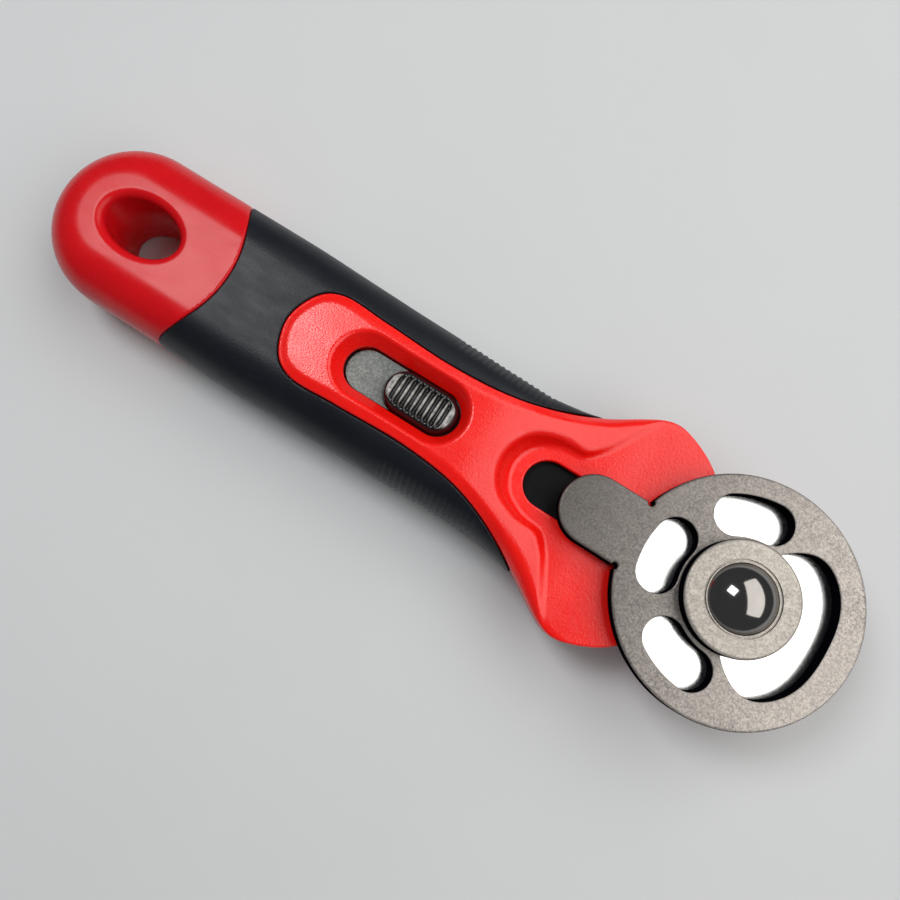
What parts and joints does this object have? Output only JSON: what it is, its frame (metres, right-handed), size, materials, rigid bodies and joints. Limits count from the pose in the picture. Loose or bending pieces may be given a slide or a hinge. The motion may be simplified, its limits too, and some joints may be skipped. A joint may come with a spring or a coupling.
{
  "type": "rotary cutter",
  "caption": "Hand-held rotary cutter with a round blade, a slotted sliding guard worked by a thumb button, and an oval hang hole in its handle.",
  "frame": {"origin": "on the blade's axis, on the head's seat face that the blade lies against", "axes": "+Z along the blade's axis, out of the seat towards the guard; -X along the handle to its tail; the cutter is symmetric about Y = 0"},
  "size_m": [0.1874, 0.05, 0.028],
  "materials": {
    "body_red": "gloss",
    "cover_red": "fine satin grain",
    "grip_rubber": "soft matte",
    "screw_steel": "zinc plated",
    "slider_grey": "fine grain",
    "button_black": "gloss",
    "spring_steel": "blued strip",
    "guard_grey": "fine moulded grain",
    "blade_steel": "ground and polished",
    "collar_grey": "fine moulded grain",
    "dome_black": "high gloss",
    "washer_steel": "zinc plated",
    "nut_black": "fine grain",
    "insert_brass": "turned"
  },
  "bodies": {
    "handle": {"body_shell": "body_red", "grip_sleeve": "grip_rubber", "front_cover": "cover_red", "cover_screws": "screw_steel", "detent_spring": "spring_steel", "pivot_collar": "collar_grey", "pivot_bolt": "dome_black", "flat_washer": "washer_steel", "spring_washer": "washer_steel"},
    "guard_carriage": {"blade_guard": "guard_grey", "guard_slider": "slider_grey", "slide_button": "button_black", "guard_screw": "screw_steel"},
    "blade": {"cutting_blade": "blade_steel"},
    "nut": {"hand_nut": "nut_black", "nut_insert": "insert_brass"}
  },
  "joints": [
    {"name": "guard_slide", "type": "slide", "parent": "handle", "child": "guard_carriage", "axis": [-1, 0, 0], "range_m": [0, 0.0085]},
    {"name": "blade_spin", "type": "hinge", "parent": "handle", "child": "blade", "pos_m": [0, 0, 0], "axis": [0, 0, 1], "continuous": true},
    {"name": "nut_turn", "type": "hinge", "parent": "handle", "child": "nut", "pos_m": [0, 0, 0], "axis": [0, 0, 1], "continuous": true}
  ]
}
